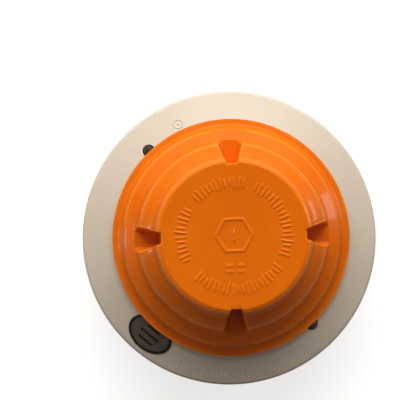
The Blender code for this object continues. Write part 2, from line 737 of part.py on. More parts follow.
def make_dust_cover(slide):
    floor = 0.0280
    outer = DOME + [(DOME[-1][0], floor), (0.0, floor)]
    inner = inset(DOME, SHEET)
    (r0, z0), (r1, z1) = inner[-2:]
    reach = HEAD_RADIUS
    inner[-1] = (reach, z1 + (z1 - z0) / (r1 - r0) * (reach - r1))
    below = floor - 0.0050
    inner += [(reach, below), (0.0, below)]
    notched_shell("dust_cover", outer, inner, ORANGE, slide, 0.0, SHEET)


# ---------------------------------------------------------------- assembly
def new_axis(name, parent=None):
    axis = bpy.data.objects.new(name, None)
    PARTS.objects.link(axis)
    axis.parent = parent
    return axis


def main():
    base = new_axis("base_frame")
    head = new_axis("head_twist_axis", base)
    slide = new_axis("dust_cover_axis", head)
    make_mounting_base()
    make_outer_cover(head)
    make_rear_housing(head)
    make_circuit_board(head)
    make_board_parts(head)
    make_lamps(head)
    for number, angle in enumerate(TERMINAL_ANGLES, 1):
        make_terminal(number, angle, base)
        make_blade(number, angle, head)
    make_chamber_base(head)
    make_chamber_cap(head)
    make_insect_screen(head)
    make_optic("ir_emitter", EMITTER_ANGLE, CLEAR, head)
    make_optic("photodiode", RECEIVER_ANGLE, BLACK, head)
    make_address_switch("tens", -SWITCH_X, head)
    make_address_switch("ones", SWITCH_X, head)
    make_label(head)
    make_dust_cover(slide)


main()
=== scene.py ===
"""Looks of the smoke detector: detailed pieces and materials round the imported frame, lights and camera.

Metres throughout. +Z points from the ceiling into the room, and the dust cover's notches lie on the axes.
"""

import math

import bmesh
import bpy
import numpy as np
from mathutils import Matrix, Vector


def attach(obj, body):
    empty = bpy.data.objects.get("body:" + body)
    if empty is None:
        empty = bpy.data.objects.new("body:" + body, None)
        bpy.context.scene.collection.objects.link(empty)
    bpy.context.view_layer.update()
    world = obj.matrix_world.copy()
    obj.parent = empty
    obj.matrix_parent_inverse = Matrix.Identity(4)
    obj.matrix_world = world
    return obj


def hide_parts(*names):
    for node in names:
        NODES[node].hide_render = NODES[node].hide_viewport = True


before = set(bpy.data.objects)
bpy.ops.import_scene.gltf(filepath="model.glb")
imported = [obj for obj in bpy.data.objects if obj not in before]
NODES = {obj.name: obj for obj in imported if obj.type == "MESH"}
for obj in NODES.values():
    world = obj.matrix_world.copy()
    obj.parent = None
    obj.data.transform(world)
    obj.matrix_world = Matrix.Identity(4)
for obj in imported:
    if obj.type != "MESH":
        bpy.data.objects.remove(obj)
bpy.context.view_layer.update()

MM = 0.001
TO_METRES = Matrix.Scale(MM, 4)
SHARP_EDGE = 35.0  # edges sharper than this, in degrees, get rounded

# The dust cover's section, from the axis to the rim, in millimetres.
DOME = np.array(
    [
        (0.0, 55.0),
        (24.3, 55.0),
        (25.6, 54.3),
        (26.3, 52.6),
        (27.1, 47.8),
        (28.7, 46.9),
        (31.0, 44.7),
        (31.9, 43.4),
        (33.4, 37.6),
        (37.0, 35.7),
        (38.7, 32.1),
        (39.3, 31.5),
        (41.4, 31.15),
    ]
)
# The same for its underside, which lies a sheet's thickness inside.
DOME_UNDER = np.array(
    [
        (0.0, 54.2),
        (24.0, 54.2),
        (25.0, 53.7),
        (25.5, 52.4),
        (26.4, 47.2),
        (28.3, 46.2),
        (30.4, 44.3),
        (31.1, 43.1),
        (32.7, 37.0),
        (36.4, 35.0),
        (38.1, 31.6),
        (39.0, 30.95),
        (41.4, 30.4),
    ]
)
DOME_ROUNDING = 0.34  # reach of the rounding of the section's corners
SHEET = 0.8
COVER_SETTLE = 0.3  # the cover sits this far to one side, within its clearance
NOTCH_END = 24.4
NOTCH_FLOOR = 37.6
NOTCH_HALF_WIDTH = 1.9  # at the notch's inner end
NOTCH_FLARE = 0.37  # growth of the half width for each millimetre outwards

# The flange is a cone between these two points, in millimetres.
FLANGE_INNER = (38.4, 30.65)
FLANGE_OUTER = (51.3, 25.7)
FLANGE_TILT = math.atan2(FLANGE_INNER[1] - FLANGE_OUTER[1], FLANGE_OUTER[0] - FLANGE_INNER[0])


# ---------------------------------------------------------------- mesh helpers
def link(name, mesh, material, body):
    obj = bpy.data.objects.new(name, mesh)
    bpy.context.scene.collection.objects.link(obj)
    mesh.materials.append(material)
    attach(obj, body)
    return obj


def smooth(mesh, angle=30.0):
    """Smooth shading, except across edges sharper than angle, in degrees."""
    mesh.shade_smooth()
    mesh.set_sharp_from_angle(angle=math.radians(angle))
    return mesh


def mesh_of(name, bm):
    bm.normal_update()
    bmesh.ops.recalc_face_normals(bm, faces=bm.faces)
    mesh = bpy.data.meshes.new(name)
    bm.to_mesh(mesh)
    bm.free()
    return smooth(mesh)


def polar(radius, angle, height=0.0):
    """Matrix that carries local X to the radial direction, at that place, in millimetres."""
    return Matrix.Rotation(math.radians(angle), 4, "Z") @ Matrix.Translation((radius, 0.0, height))


def cone_height(radius):
    (r0, z0), (r1, z1) = FLANGE_INNER, FLANGE_OUTER
    return z0 + (z1 - z0) * (radius - r0) / (r1 - r0)


def on_flange(radius, angle, lift=0.0):
    """Matrix of a place on the flange: local X runs outwards down the cone, and Z out of it."""
    place = polar(radius, angle, cone_height(radius) + lift)
    return place @ Matrix.Rotation(FLANGE_TILT, 4, "Y")


def rounded_section(points, radius, steps=4):
    """The open section with each inner corner rounded by an arc-like curve."""
    points = [Vector(p) for p in points]
    out = [tuple(points[0])]
    for before, corner, after in zip(points, points[1:], points[2:]):
        reach = min(radius, (before - corner).length * 0.45, (after - corner).length * 0.45)
        start = corner + (before - corner).normalized() * reach
        end = corner + (after - corner).normalized() * reach
        for i in range(steps + 1):
            t = i / steps
            out.append(tuple(start * (1 - t) ** 2 + corner * 2 * t * (1 - t) + end * t**2))
    out.append(tuple(points[-1]))
    return out


def lathe(bm, section, sides=192, closed=False):
    """Turns a section of (radius, height) in millimetres about Z and adds it to bm, in metres."""
    rings = []
    for radius, height in section:
        if radius < 1e-6:
            rings.append([bm.verts.new((0.0, 0.0, height * MM))])
            continue
        ring = []
        for i in range(sides):
            turn = 2 * math.pi * i / sides
            ring.append(bm.verts.new((radius * math.cos(turn) * MM, radius * math.sin(turn) * MM, height * MM)))
        rings.append(ring)
    pairs = list(zip(rings, rings[1:]))
    if closed:
        pairs.append((rings[-1], rings[0]))
    for a, b in pairs:
        for i in range(sides):
            j = (i + 1) % sides
            corners = [a[i % len(a)], a[j % len(a)], b[j % len(b)], b[i % len(b)]]
            bm.faces.new(list(dict.fromkeys(corners)))


def add_block(bm, low, high, place, round_by=0.0):
    """Adds a box between two corners, in millimetres, its edges rounded by round_by."""
    low, high = Vector(low), Vector(high)
    made = bmesh.ops.create_cube(bm, size=1.0)["verts"]
    for vert in made:
        vert.co = vert.co * (high - low) + (low + high) / 2
    if round_by:
        edges = list({edge for vert in made for edge in vert.link_edges})
        done = bmesh.ops.bevel(
            bm, geom=edges, offset=round_by, offset_type="OFFSET", segments=2, profile=0.5, affect="EDGES"
        )
        made = list(set(done["verts"]) | {vert for vert in made if vert.is_valid})
    for vert in made:
        vert.co = TO_METRES @ (place @ vert.co)


def add_post(bm, radius, low, high, place):
    """Adds an upright cylinder on the matrix's Z axis, in millimetres."""
    middle = place @ Matrix.Translation((0.0, 0.0, (low + high) / 2))
    made = bmesh.ops.create_cone(
        bm, cap_ends=True, segments=32, radius1=radius, radius2=radius, depth=high - low
    )["verts"]
    for vert in made:
        vert.co = TO_METRES @ (middle @ vert.co)


def cut(obj, bm, operation="DIFFERENCE"):
    """Applies a Boolean of bm to obj, and removes the cutter."""
    tool = bpy.data.objects.new("tool", mesh_of("tool", bm))
    bpy.context.scene.collection.objects.link(tool)
    modifier = obj.modifiers.new("boolean", "BOOLEAN")
    modifier.operation = operation
    modifier.object = tool
    modifier.solver = "EXACT"
    apply_modifiers(obj)
    bpy.data.objects.remove(tool)


def apply_modifiers(obj):
    graph = bpy.context.evaluated_depsgraph_get()
    made = bpy.data.meshes.new_from_object(obj.evaluated_get(graph))
    obj.modifiers.clear()
    obj.data = made


def soften(obj, width, flat=False):
    """Rounds the sharp edges by width, in millimetres; flat keeps the large faces' shading flat."""
    bevel = obj.modifiers.new("rounded_edges", "BEVEL")
    bevel.width = width * MM
    bevel.segments = 2
    bevel.limit_method = "ANGLE"
    bevel.angle_limit = math.radians(SHARP_EDGE)
    bevel.harden_normals = True
    bevel.use_clamp_overlap = True
    if flat:
        level = obj.modifiers.new("flat_faces", "WEIGHTED_NORMAL")
        level.mode = "FACE_AREA"
        level.weight = 100
        level.keep_sharp = True


# ---------------------------------------------------------------- materials
class Shader:
    """A Principled material, with short calls for the nodes that vary it."""

    def __init__(self, name, **values):
        self.material = bpy.data.materials.new(name)
        self.material.use_nodes = True
        self.tree = self.material.node_tree
        self.shader = self.tree.nodes["Principled BSDF"]
        self.position = self.add("ShaderNodeTexCoord").outputs["Object"]
        for key, value in values.items():
            self.shader.inputs[key.replace("_", " ")].default_value = value

    def add(self, kind, **settings):
        node = self.tree.nodes.new(kind)
        for key, value in settings.items():
            setattr(node, key, value)
        return node

    def wire(self, source, target):
        self.tree.links.new(source, target)

    def noise(self, scale, detail=3.0, stretch=(1.0, 1.0, 1.0), roughness=0.5):
        place = self.add("ShaderNodeMapping")
        place.inputs["Scale"].default_value = stretch
        self.wire(self.position, place.inputs["Vector"])
        node = self.add("ShaderNodeTexNoise")
        node.inputs["Scale"].default_value = scale
        node.inputs["Detail"].default_value = detail
        node.inputs["Roughness"].default_value = roughness
        self.wire(place.outputs["Vector"], node.inputs["Vector"])
        return node.outputs["Fac"]

    def ramp(self, value, stops):
        """Colour ramp of value; stops are (place, colour)."""
        node = self.add("ShaderNodeValToRGB")
        elements = node.color_ramp.elements
        while len(elements) < len(stops):
            elements.new(0.5)
        for element, (place, colour) in zip(elements, stops):
            element.position = place
            element.color = (*colour, 1.0)
        self.wire(value, node.inputs["Fac"])
        return node.outputs["Color"]

    def span(self, value, low, high, start=0.3, end=0.7):
        """Maps value from start..end to low..high."""
        node = self.add("ShaderNodeMapRange")
        node.inputs["From Min"].default_value = start
        node.inputs["From Max"].default_value = end
        node.inputs["To Min"].default_value = low
        node.inputs["To Max"].default_value = high
        self.wire(value, node.inputs["Value"])
        return node.outputs["Result"]

    def mix(self, factor, a, b, how="MIX"):
        node = self.add("ShaderNodeMix", data_type="RGBA", blend_type=how)
        for value, socket in ((factor, node.inputs[0]), (a, node.inputs[6]), (b, node.inputs[7])):
            if isinstance(value, (float, int)):
                socket.default_value = value
            elif isinstance(value, tuple):
                socket.default_value = (*value, 1.0)
            else:
                self.wire(value, socket)
        return node.outputs[2]

    def colour(self, output):
        self.wire(output, self.shader.inputs["Base Color"])

    def roughness(self, output):
        self.wire(output, self.shader.inputs["Roughness"])

    def bump(self, heights, distance):
        """Bump from (height, strength) layers, distance in millimetres."""
        normal = None
        for height, strength in heights:
            node = self.add("ShaderNodeBump")
            node.inputs["Strength"].default_value = strength
            node.inputs["Distance"].default_value = distance * MM
            self.wire(height, node.inputs["Height"])
            if normal:
                self.wire(normal, node.inputs["Normal"])
            normal = node.outputs["Normal"]
        self.wire(normal, self.shader.inputs["Normal"])

    def edges(self, low=0.52, high=0.6):
        """1 on convex edges, 0 elsewhere."""
        geometry = self.add("ShaderNodeNewGeometry")
        return self.span(geometry.outputs["Pointiness"], 0.0, 1.0, low, high)


def plastic(name, light, dark, roughness=(0.3, 0.42), grain=0.02, edge=None, scale=60.0, **extra):
    """Moulded plastic: slow colour drift, fine texture, scuffed gloss and worn edges."""
    s = Shader(name, **extra)
    base = s.ramp(s.noise(scale, 4.0), [(0.3, dark), (0.7, light)])
    if edge:
        base = s.mix(s.edges(), base, edge)
    s.colour(base)
    scuffs = s.noise(scale * 4.0, 6.0, stretch=(1.0, 3.0, 1.0), roughness=0.7)
    s.roughness(s.span(scuffs, *roughness))
    s.bump([(s.noise(1800.0, 2.0), 0.25), (s.noise(240.0, 3.0), 0.4)], grain)
    return s.material


def metal(name, light, dark, edge, roughness, stretch=(1.0, 1.0, 1.0)):
    """Rolled or plated metal: uneven colour, drawn grain and bright rubbed edges."""
    s = Shader(name, Metallic=1.0)
    base = s.ramp(s.noise(140.0, 5.0, stretch), [(0.3, dark), (0.7, light)])
    s.colour(s.mix(s.edges(), base, edge))
    s.roughness(s.span(s.noise(500.0, 4.0, stretch), *roughness))
    s.bump([(s.noise(1500.0, 3.0, stretch), 0.4)], 0.02)
    return s.material


def orange_sheet():
    """Glossy formed sheet, paler where it is stretched thin, and with a painted highlight on its convex edges, the
    notches' mouths and the raised marks.
    """
    s = Shader("orange_sheet", IOR=1.5, Specular_IOR_Level=0.2, Coat_Weight=0.34, Coat_Roughness=0.06)
    drift = s.noise(38.0, 3.0)
    base = s.ramp(drift, [(0.3, (0.74, 0.138, 0.0)), (0.7, (0.80, 0.165, 0.001))])
    thinning_and_highlight = s.add("ShaderNodeAttribute", attribute_name="stretch").outputs["Fac"]
    # painted highlight and thinning: lighter orange where the 'stretch' attribute is high, on the convex edges, the
    # notches' mouths and the raised marks
    s.colour(s.mix(s.span(thinning_and_highlight, 0.0, 0.6, 0.0, 1.0), base, (0.92, 0.27, 0.02)))
    s.roughness(s.span(s.noise(170.0, 5.0, roughness=0.65), 0.24, 0.34))
    s.bump([(s.noise(95.0, 2.0), 0.5), (s.noise(700.0, 2.0), 0.12)], 0.05)
    return s.material


def ivory_flange():
    """Ivory moulded plastic with fine specks and a satin gloss."""
    s = Shader("ivory_flange", IOR=1.49, Specular_IOR_Level=0.25, Coat_Weight=0.05, Coat_Roughness=0.1)
    drift = s.noise(30.0, 3.0)
    base = s.ramp(drift, [(0.3, (0.600, 0.530, 0.432)), (0.7, (0.640, 0.570, 0.468))])
    specks = s.ramp(s.noise(900.0, 2.0), [(0.25, (0.86, 0.84, 0.80)), (0.36, (1.0, 1.0, 1.0))])
    base = s.mix(0.35, base, specks, "MULTIPLY")
    s.colour(s.mix(s.edges(0.51, 0.58), base, (0.70, 0.64, 0.54)))
    s.roughness(s.span(s.noise(140.0, 5.0, roughness=0.7), 0.26, 0.38))
    s.bump([(s.noise(1500.0, 2.0), 0.18), (s.noise(130.0, 2.0), 0.35)], 0.03)
    return s.material


def circuit_board():
    """Green solder mask over a pattern of tracks."""
    s = Shader("circuit_board", Coat_Weight=0.3)
    mask = s.ramp(s.noise(90.0, 3.0), [(0.3, (0.010, 0.085, 0.030)), (0.7, (0.016, 0.125, 0.045))])
    tracks = s.add("ShaderNodeTexBrick", offset=0.37)
    tracks.inputs["Scale"].default_value = 260.0
    tracks.inputs["Mortar Size"].default_value = 0.06
    s.wire(s.position, tracks.inputs["Vector"])
    s.colour(s.mix(tracks.outputs["Fac"], mask, (0.035, 0.22, 0.075)))
    s.roughness(s.span(s.noise(300.0, 4.0), 0.28, 0.45))
    s.bump([(tracks.outputs["Fac"], 0.5)], 0.04)
    return s.material


ORANGE = orange_sheet()
IVORY = ivory_flange()
IVORY_BACK = plastic("ivory_back", (0.62, 0.56, 0.46), (0.56, 0.50, 0.41), (0.38, 0.55), 0.04)
SMOKED = plastic("smoked_lens", (0.060, 0.045, 0.033), (0.030, 0.022, 0.016), (0.16, 0.26), 0.01, Coat_Weight=0.2)
BLACK = plastic("black_moulding", (0.022, 0.022, 0.024), (0.012, 0.012, 0.013), (0.45, 0.62), 0.05, (0.05, 0.05, 0.05))
LABEL_FACE = plastic("label_face", (0.105, 0.086, 0.070), (0.080, 0.064, 0.052), (0.30, 0.42), 0.01, scale=300.0)
LABEL_INK = plastic("label_ink", (0.010, 0.009, 0.009), (0.006, 0.005, 0.005), (0.28, 0.36), 0.01)
STEEL = metal("zinc_steel", (0.66, 0.65, 0.62), (0.48, 0.48, 0.47), (0.80, 0.79, 0.76), (0.22, 0.42))
BRASS = metal("brass", (0.80, 0.60, 0.27), (0.62, 0.44, 0.17), (0.93, 0.76, 0.42), (0.22, 0.40), (1.0, 8.0, 1.0))
SWITCH_BLUE = plastic("switch_blue", (0.035, 0.12, 0.42), (0.02, 0.08, 0.33), (0.35, 0.5), 0.02)
DIAL_WHITE = plastic("dial_white", (0.84, 0.83, 0.79), (0.76, 0.75, 0.70), (0.3, 0.42), 0.01)
CLEAR = plastic("clear_resin", (0.80, 0.84, 0.86), (0.70, 0.76, 0.80), (0.05, 0.12), 0.01, Transmission_Weight=0.7)
BOARD = circuit_board()


# ---------------------------------------------------------------- dust cover
def graded(*runs):
    """Points from runs of (start, end, step): each run is evenly divided in steps of about step."""
    out = []
    for start, end, step in runs:
        count = max(1, round((end - start) / step))
        out += [start + (end - start) * i / count for i in range(count)]
    return out


def dome_height(radius, section):
    """Height of the section at each radius, with its corners rounded."""
    taps = np.linspace(-DOME_ROUNDING, DOME_ROUNDING, 7)
    weights = np.cos(taps / DOME_ROUNDING * 1.25)
    total = sum(w * np.interp(np.abs(radius + t), section[:, 0], section[:, 1]) for t, w in zip(taps, weights))
    return total / weights.sum()


def notch_depth(x, y, grow):
    """How far down the nearest notch's walls a point is: 0 or less at its mouth, 1 or more on its floor."""
    along = np.maximum(np.abs(x), np.abs(y))
    across = np.minimum(np.abs(x), np.abs(y))
    beyond = along - NOTCH_END
    mouth = NOTCH_HALF_WIDTH + NOTCH_FLARE * beyond + grow
    side = (mouth - across) / np.maximum(0.6 + 0.21 * beyond, 0.3)
    end = beyond + 0.5 + grow
    softness = 1.1
    blend = np.clip(0.5 + 0.5 * (end - side) / softness, 0.0, 1.0)
    return end + (side - end) * blend - softness * blend * (1 - blend) * 0.5


def smooth_step(t):
    return t * t * (3 - 2 * t)


def cover_height(x, y, section, grow):
    """Height of the sheet's top, or of its underside, whose notches are wider and deeper by grow."""
    block = dome_height(np.hypot(x, y), section)
    depth = notch_depth(x, y, grow)
    fall = smooth_step(np.clip(depth, 0.0, 1.0))
    floor = np.minimum(block, NOTCH_FLOOR - grow)
    lip = np.exp(-((depth + 0.3) ** 2) / 0.12) * np.clip((block - NOTCH_FLOOR) / 4, 0.0, 1.0)
    return block * (1 - fall) + floor * fall - 0.12 * lip


def bar(x, y, centre, direction, half_length, half_width=0.26, height=0.24):
    """Height at x, y of a raised bar with rounded ends."""
    dx, dy = x - centre[0], y - centre[1]
    along = dx * direction[0] + dy * direction[1]
    across = -dx * direction[1] + dy * direction[0]
    away = np.hypot(np.maximum(np.abs(along) - half_length, 0.0), across)
    return height * smooth_step(np.clip((half_width * 2 - away) / (half_width * 2), 0.0, 1.0))


MARK_RADIUS = 17.6
MARK_PITCH = 10.2  # degrees between the marks of a group
# Groups of marks round the flat top: (angle of the first mark, number of marks, direction round the ring).
MARK_GROUPS = ((203.0, 6, -1), (131.5, 6, -1), (62.0, 9, -1), (229.0, 10, 1))
OUTLINE_MIDDLE = 0.3  # height on the flat top of the six-sided outline's middle
OUTLINE_APOTHEM = 5.2
CONVEX_EDGES = (25.3, 31.5, 37.2, 41.2)  # radii of the convex edges, where the sheet is stretched thin and a highlight is painted


def embossing(x, y):
    """Raised plain marks: four groups of bars round the flat top, and a six-sided outline in its middle."""
    total = np.zeros_like(x)
    for first, count, way in MARK_GROUPS:
        for i in range(count):
            angle = math.radians(first + way * MARK_PITCH * i)
            out = (math.cos(angle), math.sin(angle))
            side = (-out[1], out[0])
            long_first = i % 2 == 0
            for offset, half in ((-0.72, 1.6 if long_first else 1.1), (0.72, 1.1 if long_first else 1.6)):
                centre = (out[0] * MARK_RADIUS + side[0] * offset, out[1] * MARK_RADIUS + side[1] * offset)
                total = np.maximum(total, bar(x, y, centre, out, half))
    turns = [math.radians(30.0 + 60.0 * i) for i in range(6)]
    hexagon = np.maximum.reduce([x * math.cos(t) + (y - OUTLINE_MIDDLE) * math.sin(t) for t in turns])
    line = smooth_step(np.clip(1 - np.abs(hexagon - OUTLINE_APOTHEM) / 0.55, 0.0, 1.0))
    total = np.maximum(total, 0.3 * line)
    total = np.maximum(total, bar(x, y, (0.0, OUTLINE_MIDDLE), (0.0, 1.0), 1.7, 0.3, 0.3))
    for place in (-1.9, 1.9):
        total = np.maximum(total, bar(x, y, (place, -9.7), (1.0, 0.0), 1.0, 0.3, 0.26))
        total = np.maximum(total, bar(x, y, (place, -11.6), (1.0, 0.0), 1.0, 0.3, 0.26))
    return total


def stretch_of(points):
    """How much each point is painted paler, partly for the sheet's thinning and partly as a painted highlight: most on
    the convex edges, the notches' mouths and the raised marks.
    """
    x, y = points[:, 0], points[:, 1]
    radius = np.hypot(x, y)
    # painted highlight along the convex edges and at the notches' mouths, partly the sheet's thinning; the raised marks
    # are painted paler too
    edge = sum(np.exp(-(((radius - corner) / 0.4) ** 2)) for corner in CONVEX_EDGES)
    depth = notch_depth(x, y, 0.0)
    block = dome_height(radius, DOME) > NOTCH_FLOOR + 1
    mouth = np.exp(-((depth / 0.3) ** 2)) * block
    return np.clip(np.maximum(edge * (depth < 0.1), mouth) + embossing(x, y), 0.0, 1.0)


def grid_angles():
    """Angles round the cover, dense at the notches' walls."""
    quarter = graded((-45, -9.4, 0.8), (-9.4, -4.0, 0.17), (-4.0, 4.0, 1.0), (4.0, 9.4, 0.17), (9.4, 45, 0.8))
    return np.radians([90.0 * i + angle + 0.13 for i in range(4) for angle in quarter])


# Runs of (start radius, end radius, step) of the rings of the top and of the underside.
TOP_RUNS = (
    (0.25, 8.6, 0.36), (8.6, 13.0, 0.5), (13.0, 15.2, 0.7), (15.2, 20.2, 0.26), (20.2, 23.0, 0.9), (23.0, 27.2, 0.20),
    (27.2, 31.2, 0.5), (31.2, 33.9, 0.25), (33.9, 36.6, 0.9), (36.6, 39.6, 0.25), (39.6, 41.5, 0.3),
)
UNDER_RUNS = ((41.25, 36.4, -0.8), (36.4, 30.0, -0.6), (30.0, 26.5, -0.9), (26.5, 22.0, -0.5), (22.0, 0.5, -4.5))
RIM_TOP, RIM_EDGE = 41.38, 41.40  # radii of the last ring of the top, and of the rim's edge


def make_dust_cover():
    """One closed sheet: rings out along the top, over the rim, and back in along the underside."""
    top_radii = graded(*TOP_RUNS)
    top_radii[-1] = RIM_TOP
    angles = grid_angles()

    def ring(radius, height_at):
        x, y = radius * np.cos(angles), radius * np.sin(angles)
        return np.column_stack((x, y, height_at(x, y)))

    rings = [ring(radius, lambda x, y: cover_height(x, y, DOME, 0.0) + embossing(x, y)) for radius in top_radii]
    rings.append(ring(RIM_EDGE, lambda x, y: np.full_like(x, DOME[-1, 1] - 0.25)))
    rings += [ring(radius, lambda x, y: cover_height(x, y, DOME_UNDER, SHEET)) for radius in graded(*UNDER_RUNS)]
    middles = np.array([[0.0, 0.0, DOME[0, 1]], [0.0, 0.0, DOME_UNDER[0, 1]]])
    points = np.concatenate(rings + [middles]) * MM
    count = len(angles)
    row, column = np.meshgrid(np.arange(len(rings) - 1), np.arange(count), indexing="ij")
    following = (column + 1) % count
    here, outwards = row * count, (row + 1) * count
    quads = np.stack((here + column, outwards + column, outwards + following, here + following), -1)
    faces = quads.reshape(-1, 4).tolist()
    last = (len(rings) - 1) * count
    top_middle, under_middle = len(points) - 2, len(points) - 1
    for i in range(count):
        j = (i + 1) % count
        faces.append((top_middle, i, j))
        faces.append((under_middle, last + j, last + i))
    mesh = bpy.data.meshes.new("dust_cover_sheet")
    mesh.from_pydata(points.tolist(), [], faces)
    mesh.validate()
    # the 'stretch' attribute holds where the orange is painted paler: the sheet's thinning and a painted highlight
    stretch = mesh.attributes.new("stretch", "FLOAT", "POINT")
    stretch.data.foreach_set("value", stretch_of(points / MM).astype(np.float32))
    mesh.transform(Matrix.Translation((COVER_SETTLE * MM, 0.0, 0.0)))
    smooth(mesh, 60.0)
    obj = link("dust_cover_sheet", mesh, ORANGE, "dust_cover")
    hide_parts("dust_cover")


# ---------------------------------------------------------------- the head's outer cover
LAMP_RADIUS = 41.7
LAMP_ANGLES = (131.5, 311.5)

# Sections of (radius, height): the crown outside, the flange's edge, and the whole cover inside.
CROWN = [
    (0.0, 53.8),
    (23.1, 53.8),
    (24.15, 53.2),
    (24.85, 52.0),
    (25.9, 46.75),
    (28.0, 45.9),
    (30.05, 43.95),
    (30.75, 42.9),
    (32.35, 36.8),
    (36.0, 34.8),
    (37.9, 31.1),
]
COVER_EDGE = [(52.0, 24.9), (52.0, 17.1), (51.8, 16.9)]
COVER_INSIDE = [
    (0.0, 52.2),
    (22.2, 52.2),
    (23.4, 51.4),
    (24.6, 45.4),
    (26.6, 44.9),
    (29.2, 42.3),
    (31.0, 35.7),
    (34.9, 33.7),
    (37.4, 29.4),
    (49.6, 24.8),
    (50.4, 24.2),
    (50.4, 16.9),
]
VANE_WINDOWS = [17.0 + 11.2 * i for i in range(6)]  # degrees from a notch


def wedge_tool(grow, bottom):
    """Cutter of the four notches, moved outwards by grow."""
    bm = bmesh.new()
    for quarter in range(4):
        place = polar(0.0, 90.0 * quarter)
        near, far = 24.0 - grow, 52.0
        low_near, low_far = 2.0 + grow, 2.0 + grow + 0.19 * (far - near)
        outline = [(near + 0.45, low_near), (far, low_far), (near - 0.45, low_near + 0.9), (far, low_far + 0.9)]
        corners = []
        for (x, half), z in zip(outline, (bottom, bottom, 60.0, 60.0)):
            corners.append([bm.verts.new(TO_METRES @ (place @ Vector((x, sign * half, z)))) for sign in (-1, 1)])
        (a, b), (c, d), (e, f), (g, h) = corners
        for face in ((a, b, d, c), (e, g, h, f), (a, c, g, e), (b, f, h, d), (a, e, f, b), (c, d, h, g)):
            bm.faces.new(face)
    return bm


def make_outer_cover():
    """The ivory moulding: flange and hollow crown, with four notches, vane windows and lamp holes."""
    cone = [(radius, cone_height(radius)) for radius in np.linspace(FLANGE_INNER[0], FLANGE_OUTER[0], 16)]
    shell = bmesh.new()
    lathe(shell, rounded_section(CROWN + cone + COVER_EDGE, 0.5) + [(0.0, COVER_EDGE[-1][1])])
    obj = link("outer_cover_shell", mesh_of("outer_cover_shell", shell), IVORY, "head")
    cut(obj, wedge_tool(1.2, 36.4))
    core = bmesh.new()
    lathe(core, COVER_INSIDE + [(50.4, 10.0), (0.0, 10.0)])
    core_obj = bpy.data.objects.new("core", mesh_of("core", core))
    bpy.context.scene.collection.objects.link(core_obj)
    core_obj.data.materials.append(IVORY)
    cut(core_obj, wedge_tool(2.8, 34.8))
    core_bm = bmesh.new()
    core_bm.from_mesh(core_obj.data)
    bpy.data.objects.remove(core_obj)
    cut(obj, core_bm)
    openings = bmesh.new()
    for quarter in range(4):
        for angle in VANE_WINDOWS:
            add_block(openings, (21.5, -1.3, 38.4), (36.0, 1.3, 50.5), polar(0.0, 90.0 * quarter + angle))
    for angle in LAMP_ANGLES:
        add_post(openings, 2.2, 24.0, 33.0, polar(LAMP_RADIUS, angle))
    cut(obj, openings)
    smooth(obj.data)
    soften(obj, 0.22)
    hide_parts("outer_cover")


def make_lamps():
    """Smoked light pipes with a domed window and a fine ring moulded round it."""
    for number, angle in enumerate(LAMP_ANGLES, 1):
        bm = bmesh.new()
        section = [(0.0, 29.98)]
        section += [(1.95 * math.sin(t), 28.55 + 1.35 * math.cos(t)) for t in np.linspace(0.25, 1.45, 7)]
        section += [(1.95, 25.4), (2.7, 25.3), (2.7, 24.2), (1.9, 24.1), (1.9, 20.9), (1.6, 20.75), (0.0, 20.75)]
        lathe(bm, section, 48)
        mesh = mesh_of(f"lamp_window_{number}", bm)
        mesh.transform(Matrix.Rotation(math.radians(angle), 4, "Z") @ Matrix.Translation((LAMP_RADIUS * MM, 0, 0)))
        obj = link(f"lamp_window_{number}", mesh, SMOKED, "head")
        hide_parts(f"light_pipe_{number}")


FLANGE_MARK_RADIUS, FLANGE_MARK_START, FLANGE_MARK_PITCH, FLANGE_MARK_GAP = 48.6, 247.0, 3.75, 3.4
MAGNET_MARK_PLACE = (43.9, 112.9)  # radius and angle


def make_flange_marks():
    """Faint raised bars in three groups, and the small ring that shows where a test magnet goes."""
    bm = bmesh.new()
    angle = FLANGE_MARK_START
    for count in (2, 3, 5):
        for i in range(count):
            long_first = i % 2 == 0
            for offset, half in ((-0.62, 1.35 if long_first else 0.9), (0.62, 0.9 if long_first else 1.35)):
                place = on_flange(FLANGE_MARK_RADIUS, angle) @ Matrix.Translation((0.0, offset, 0.0))
                add_block(bm, (-half, -0.2, -0.2), (half, 0.2, 0.10), place, 0.09)
            angle += FLANGE_MARK_PITCH
        angle += FLANGE_MARK_GAP
    link("flange_marks", mesh_of("flange_marks", bm), IVORY, "head")
    ring = bmesh.new()
    minor, major = 0.24, 1.65
    section = [(major + minor * math.cos(t), minor * 0.8 * math.sin(t)) for t in np.linspace(0, 2 * math.pi, 12, False)]
    lathe(ring, section, 48, closed=True)
    lathe(ring, [(0.0, 0.28), (0.35, 0.22), (0.52, -0.1), (0.0, -0.12)], 24)
    mesh = mesh_of("magnet_mark", ring)
    mesh.transform(TO_METRES @ on_flange(*MAGNET_MARK_PLACE) @ TO_METRES.inverted())
    link("magnet_mark", mesh, IVORY, "head")


LABEL_RADIUS, LABEL_ANGLE = 44.0, -131.5
LABEL_HALF_AXES = (6.0, 8.4)  # along the radius, and across it


def oval_on_flange(name, inner_scale, outer_scale, low, high, material):
    """A flat oval band on the flange, between two scales of the label's outline."""
    bm = bmesh.new()
    turns = np.linspace(0, 2 * math.pi, 96, False)
    radial, tangential = LABEL_HALF_AXES
    place = Matrix.Rotation(math.radians(LABEL_ANGLE), 4, "Z")

    def ring(scale, lift):
        made = []
        for t in turns:
            x, y = LABEL_RADIUS + radial * scale * math.cos(t), tangential * scale * math.sin(t)
            made.append(bm.verts.new((place @ Vector((x, y, cone_height(math.hypot(x, y)) + lift))) * MM))
        return made

    shoulder = outer_scale - 0.015
    across = [inner_scale + (shoulder - inner_scale) * i / 6 for i in range(6, -1, -1)]
    rings = [ring(outer_scale, low), ring(outer_scale, high - 0.03)]
    rings += [ring(scale, high) for scale in across]
    rings.append(ring(inner_scale, low))
    for a, b in zip(rings, rings[1:] + rings[:1]):
        for i in range(len(turns)):
            j = (i + 1) % len(turns)
            bm.faces.new((a[i], a[j], b[j], b[i]))
    return link(name, mesh_of(name, bm), material, "head")


